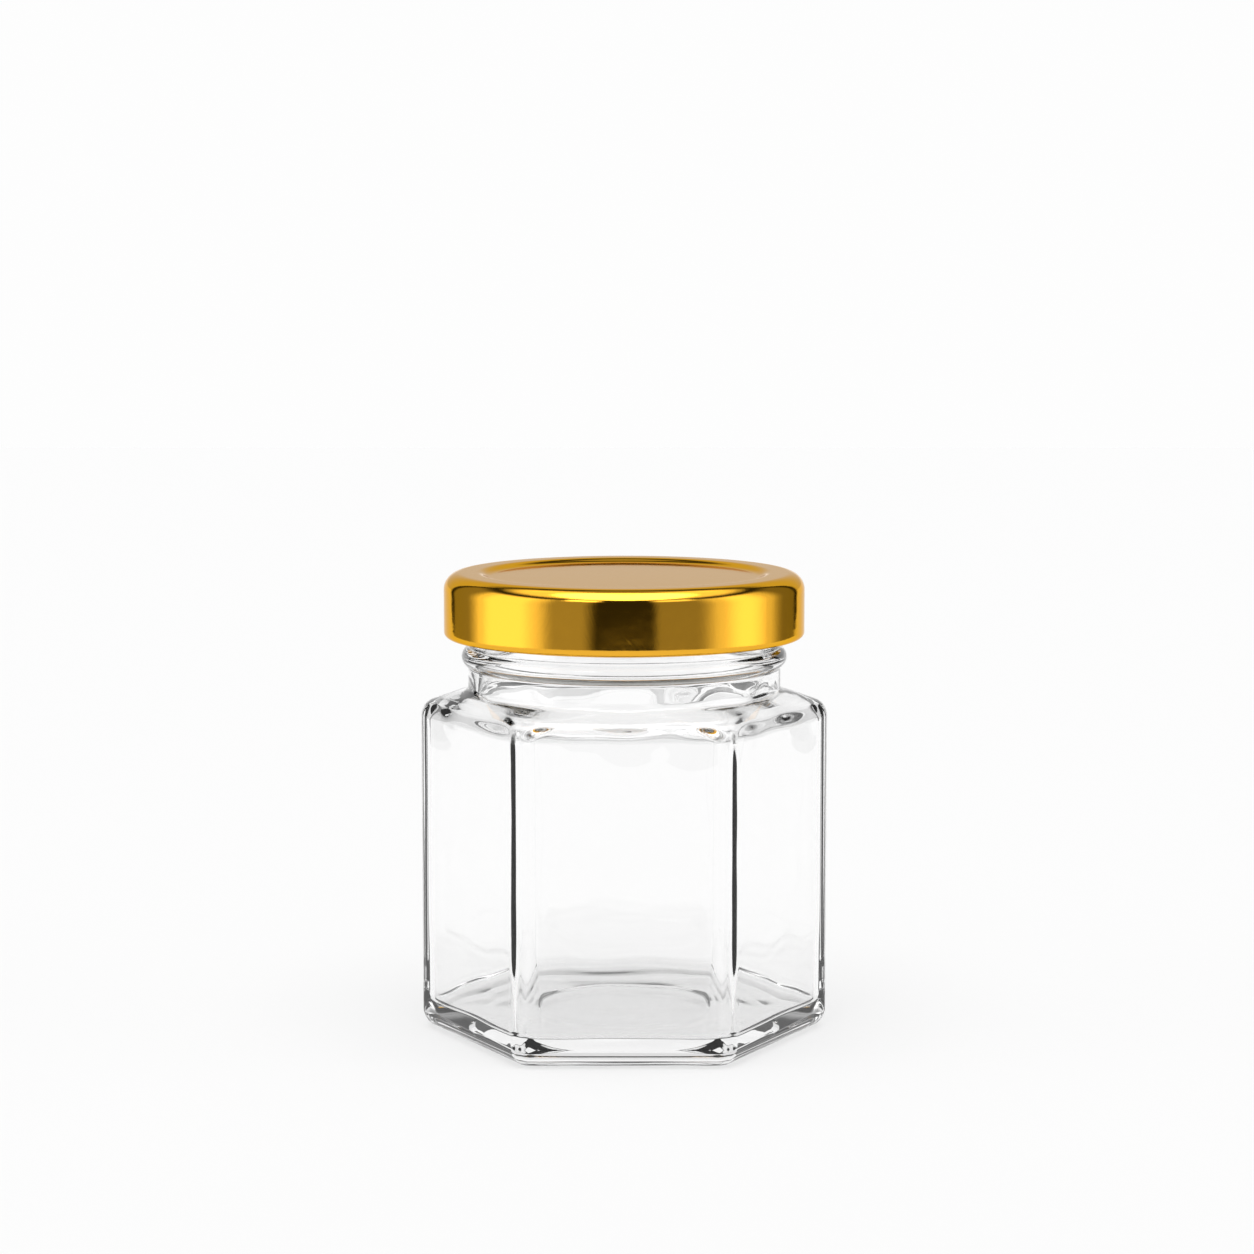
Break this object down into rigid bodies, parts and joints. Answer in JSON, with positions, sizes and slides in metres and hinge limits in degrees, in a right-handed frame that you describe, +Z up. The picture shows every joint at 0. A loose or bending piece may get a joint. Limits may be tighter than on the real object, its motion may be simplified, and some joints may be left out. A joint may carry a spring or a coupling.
{
  "type": "hexagonal glass jar",
  "caption": "Small empty hexagonal jar of clear glass with a round neck, closed by a gold twist-off metal lid.",
  "frame": {"origin": "centre of the base on the surface that the jar stands on", "axes": "+Z up along the neck's axis; one flat face looks along -Y, and two corners lie on the X axis"},
  "size_m": [0.0578, 0.0512, 0.0658],
  "materials": {
    "clear_glass": "polished",
    "gold_lacquered_tinplate": "gloss",
    "sealing_compound": "satin"
  },
  "bodies": {
    "root": {"glass_jar": "clear_glass", "lid": "gold_lacquered_tinplate", "sealing_ring": "sealing_compound"}
  },
  "joints": []
}
